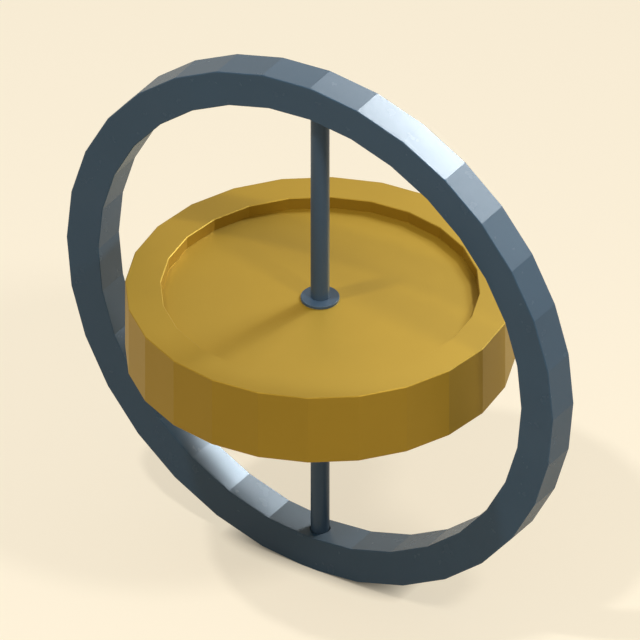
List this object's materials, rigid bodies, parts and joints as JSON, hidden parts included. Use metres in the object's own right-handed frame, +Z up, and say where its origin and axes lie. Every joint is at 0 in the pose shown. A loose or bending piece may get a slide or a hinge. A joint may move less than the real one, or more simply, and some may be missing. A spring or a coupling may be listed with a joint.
{
  "type": "gyroscope",
  "caption": "Gyroscope with a thick faceted brass rotor on a slim vertical axle, running on ball bearings in a faceted ring frame that stands on a small foot flat.",
  "frame": {"origin": "middle of the foot flat under the ring, on the axle's line, at the bottom centre of the bounding box", "axes": "+Z up along the axle; Y is the ring's own axis, with the front face of the ring looking along -Y; +X to the right across the ring"},
  "size_m": [0.1226, 0.082, 0.1222],
  "materials": {
    "slate_paint": "satin",
    "slate_steel": "satin",
    "rotor_brass": "satin",
    "cage_brass": "satin",
    "bearing_steel": "satin",
    "polished_steel": "polished",
    "spring_steel": "satin"
  },
  "bodies": {
    "frame": {"ring_frame": "slate_paint", "bearing_plug": "slate_steel", "preload_spring": "spring_steel", "upper_bearing_outer_race": "bearing_steel", "upper_bearing_bottom_shield": "spring_steel", "upper_bearing_top_shield": "spring_steel", "lower_bearing_outer_race": "bearing_steel", "lower_bearing_bottom_shield": "spring_steel", "lower_bearing_top_shield": "spring_steel"},
    "rotor": {"rotor_disc": "rotor_brass", "axle": "slate_steel", "upper_hub_flange": "slate_steel", "lower_hub_flange": "slate_steel", "upper_shim": "spring_steel", "lower_shim": "spring_steel", "upper_bearing_inner_race": "bearing_steel", "lower_bearing_inner_race": "bearing_steel"},
    "upper_cage": {"upper_bearing_cage": "cage_brass", "upper_bearing_balls": "polished_steel"},
    "lower_cage": {"lower_bearing_cage": "cage_brass", "lower_bearing_balls": "polished_steel"}
  },
  "joints": [
    {"name": "rotor_spin", "type": "hinge", "parent": "frame", "child": "rotor", "pos_m": [0, 0, 0.06095], "axis": [0, 0, 1], "continuous": true},
    {"name": "upper_cage_spin", "type": "hinge", "parent": "frame", "child": "upper_cage", "pos_m": [0, 0, 0.11586], "axis": [0, 0, 1], "continuous": true},
    {"name": "lower_cage_spin", "type": "hinge", "parent": "frame", "child": "lower_cage", "pos_m": [0, 0, 0.00455], "axis": [0, 0, 1], "continuous": true}
  ],
  "couplings": [
    {"joint": "upper_cage_spin", "follows": "rotor_spin", "ratio": 0.41167},
    {"joint": "lower_cage_spin", "follows": "rotor_spin", "ratio": 0.41167}
  ]
}
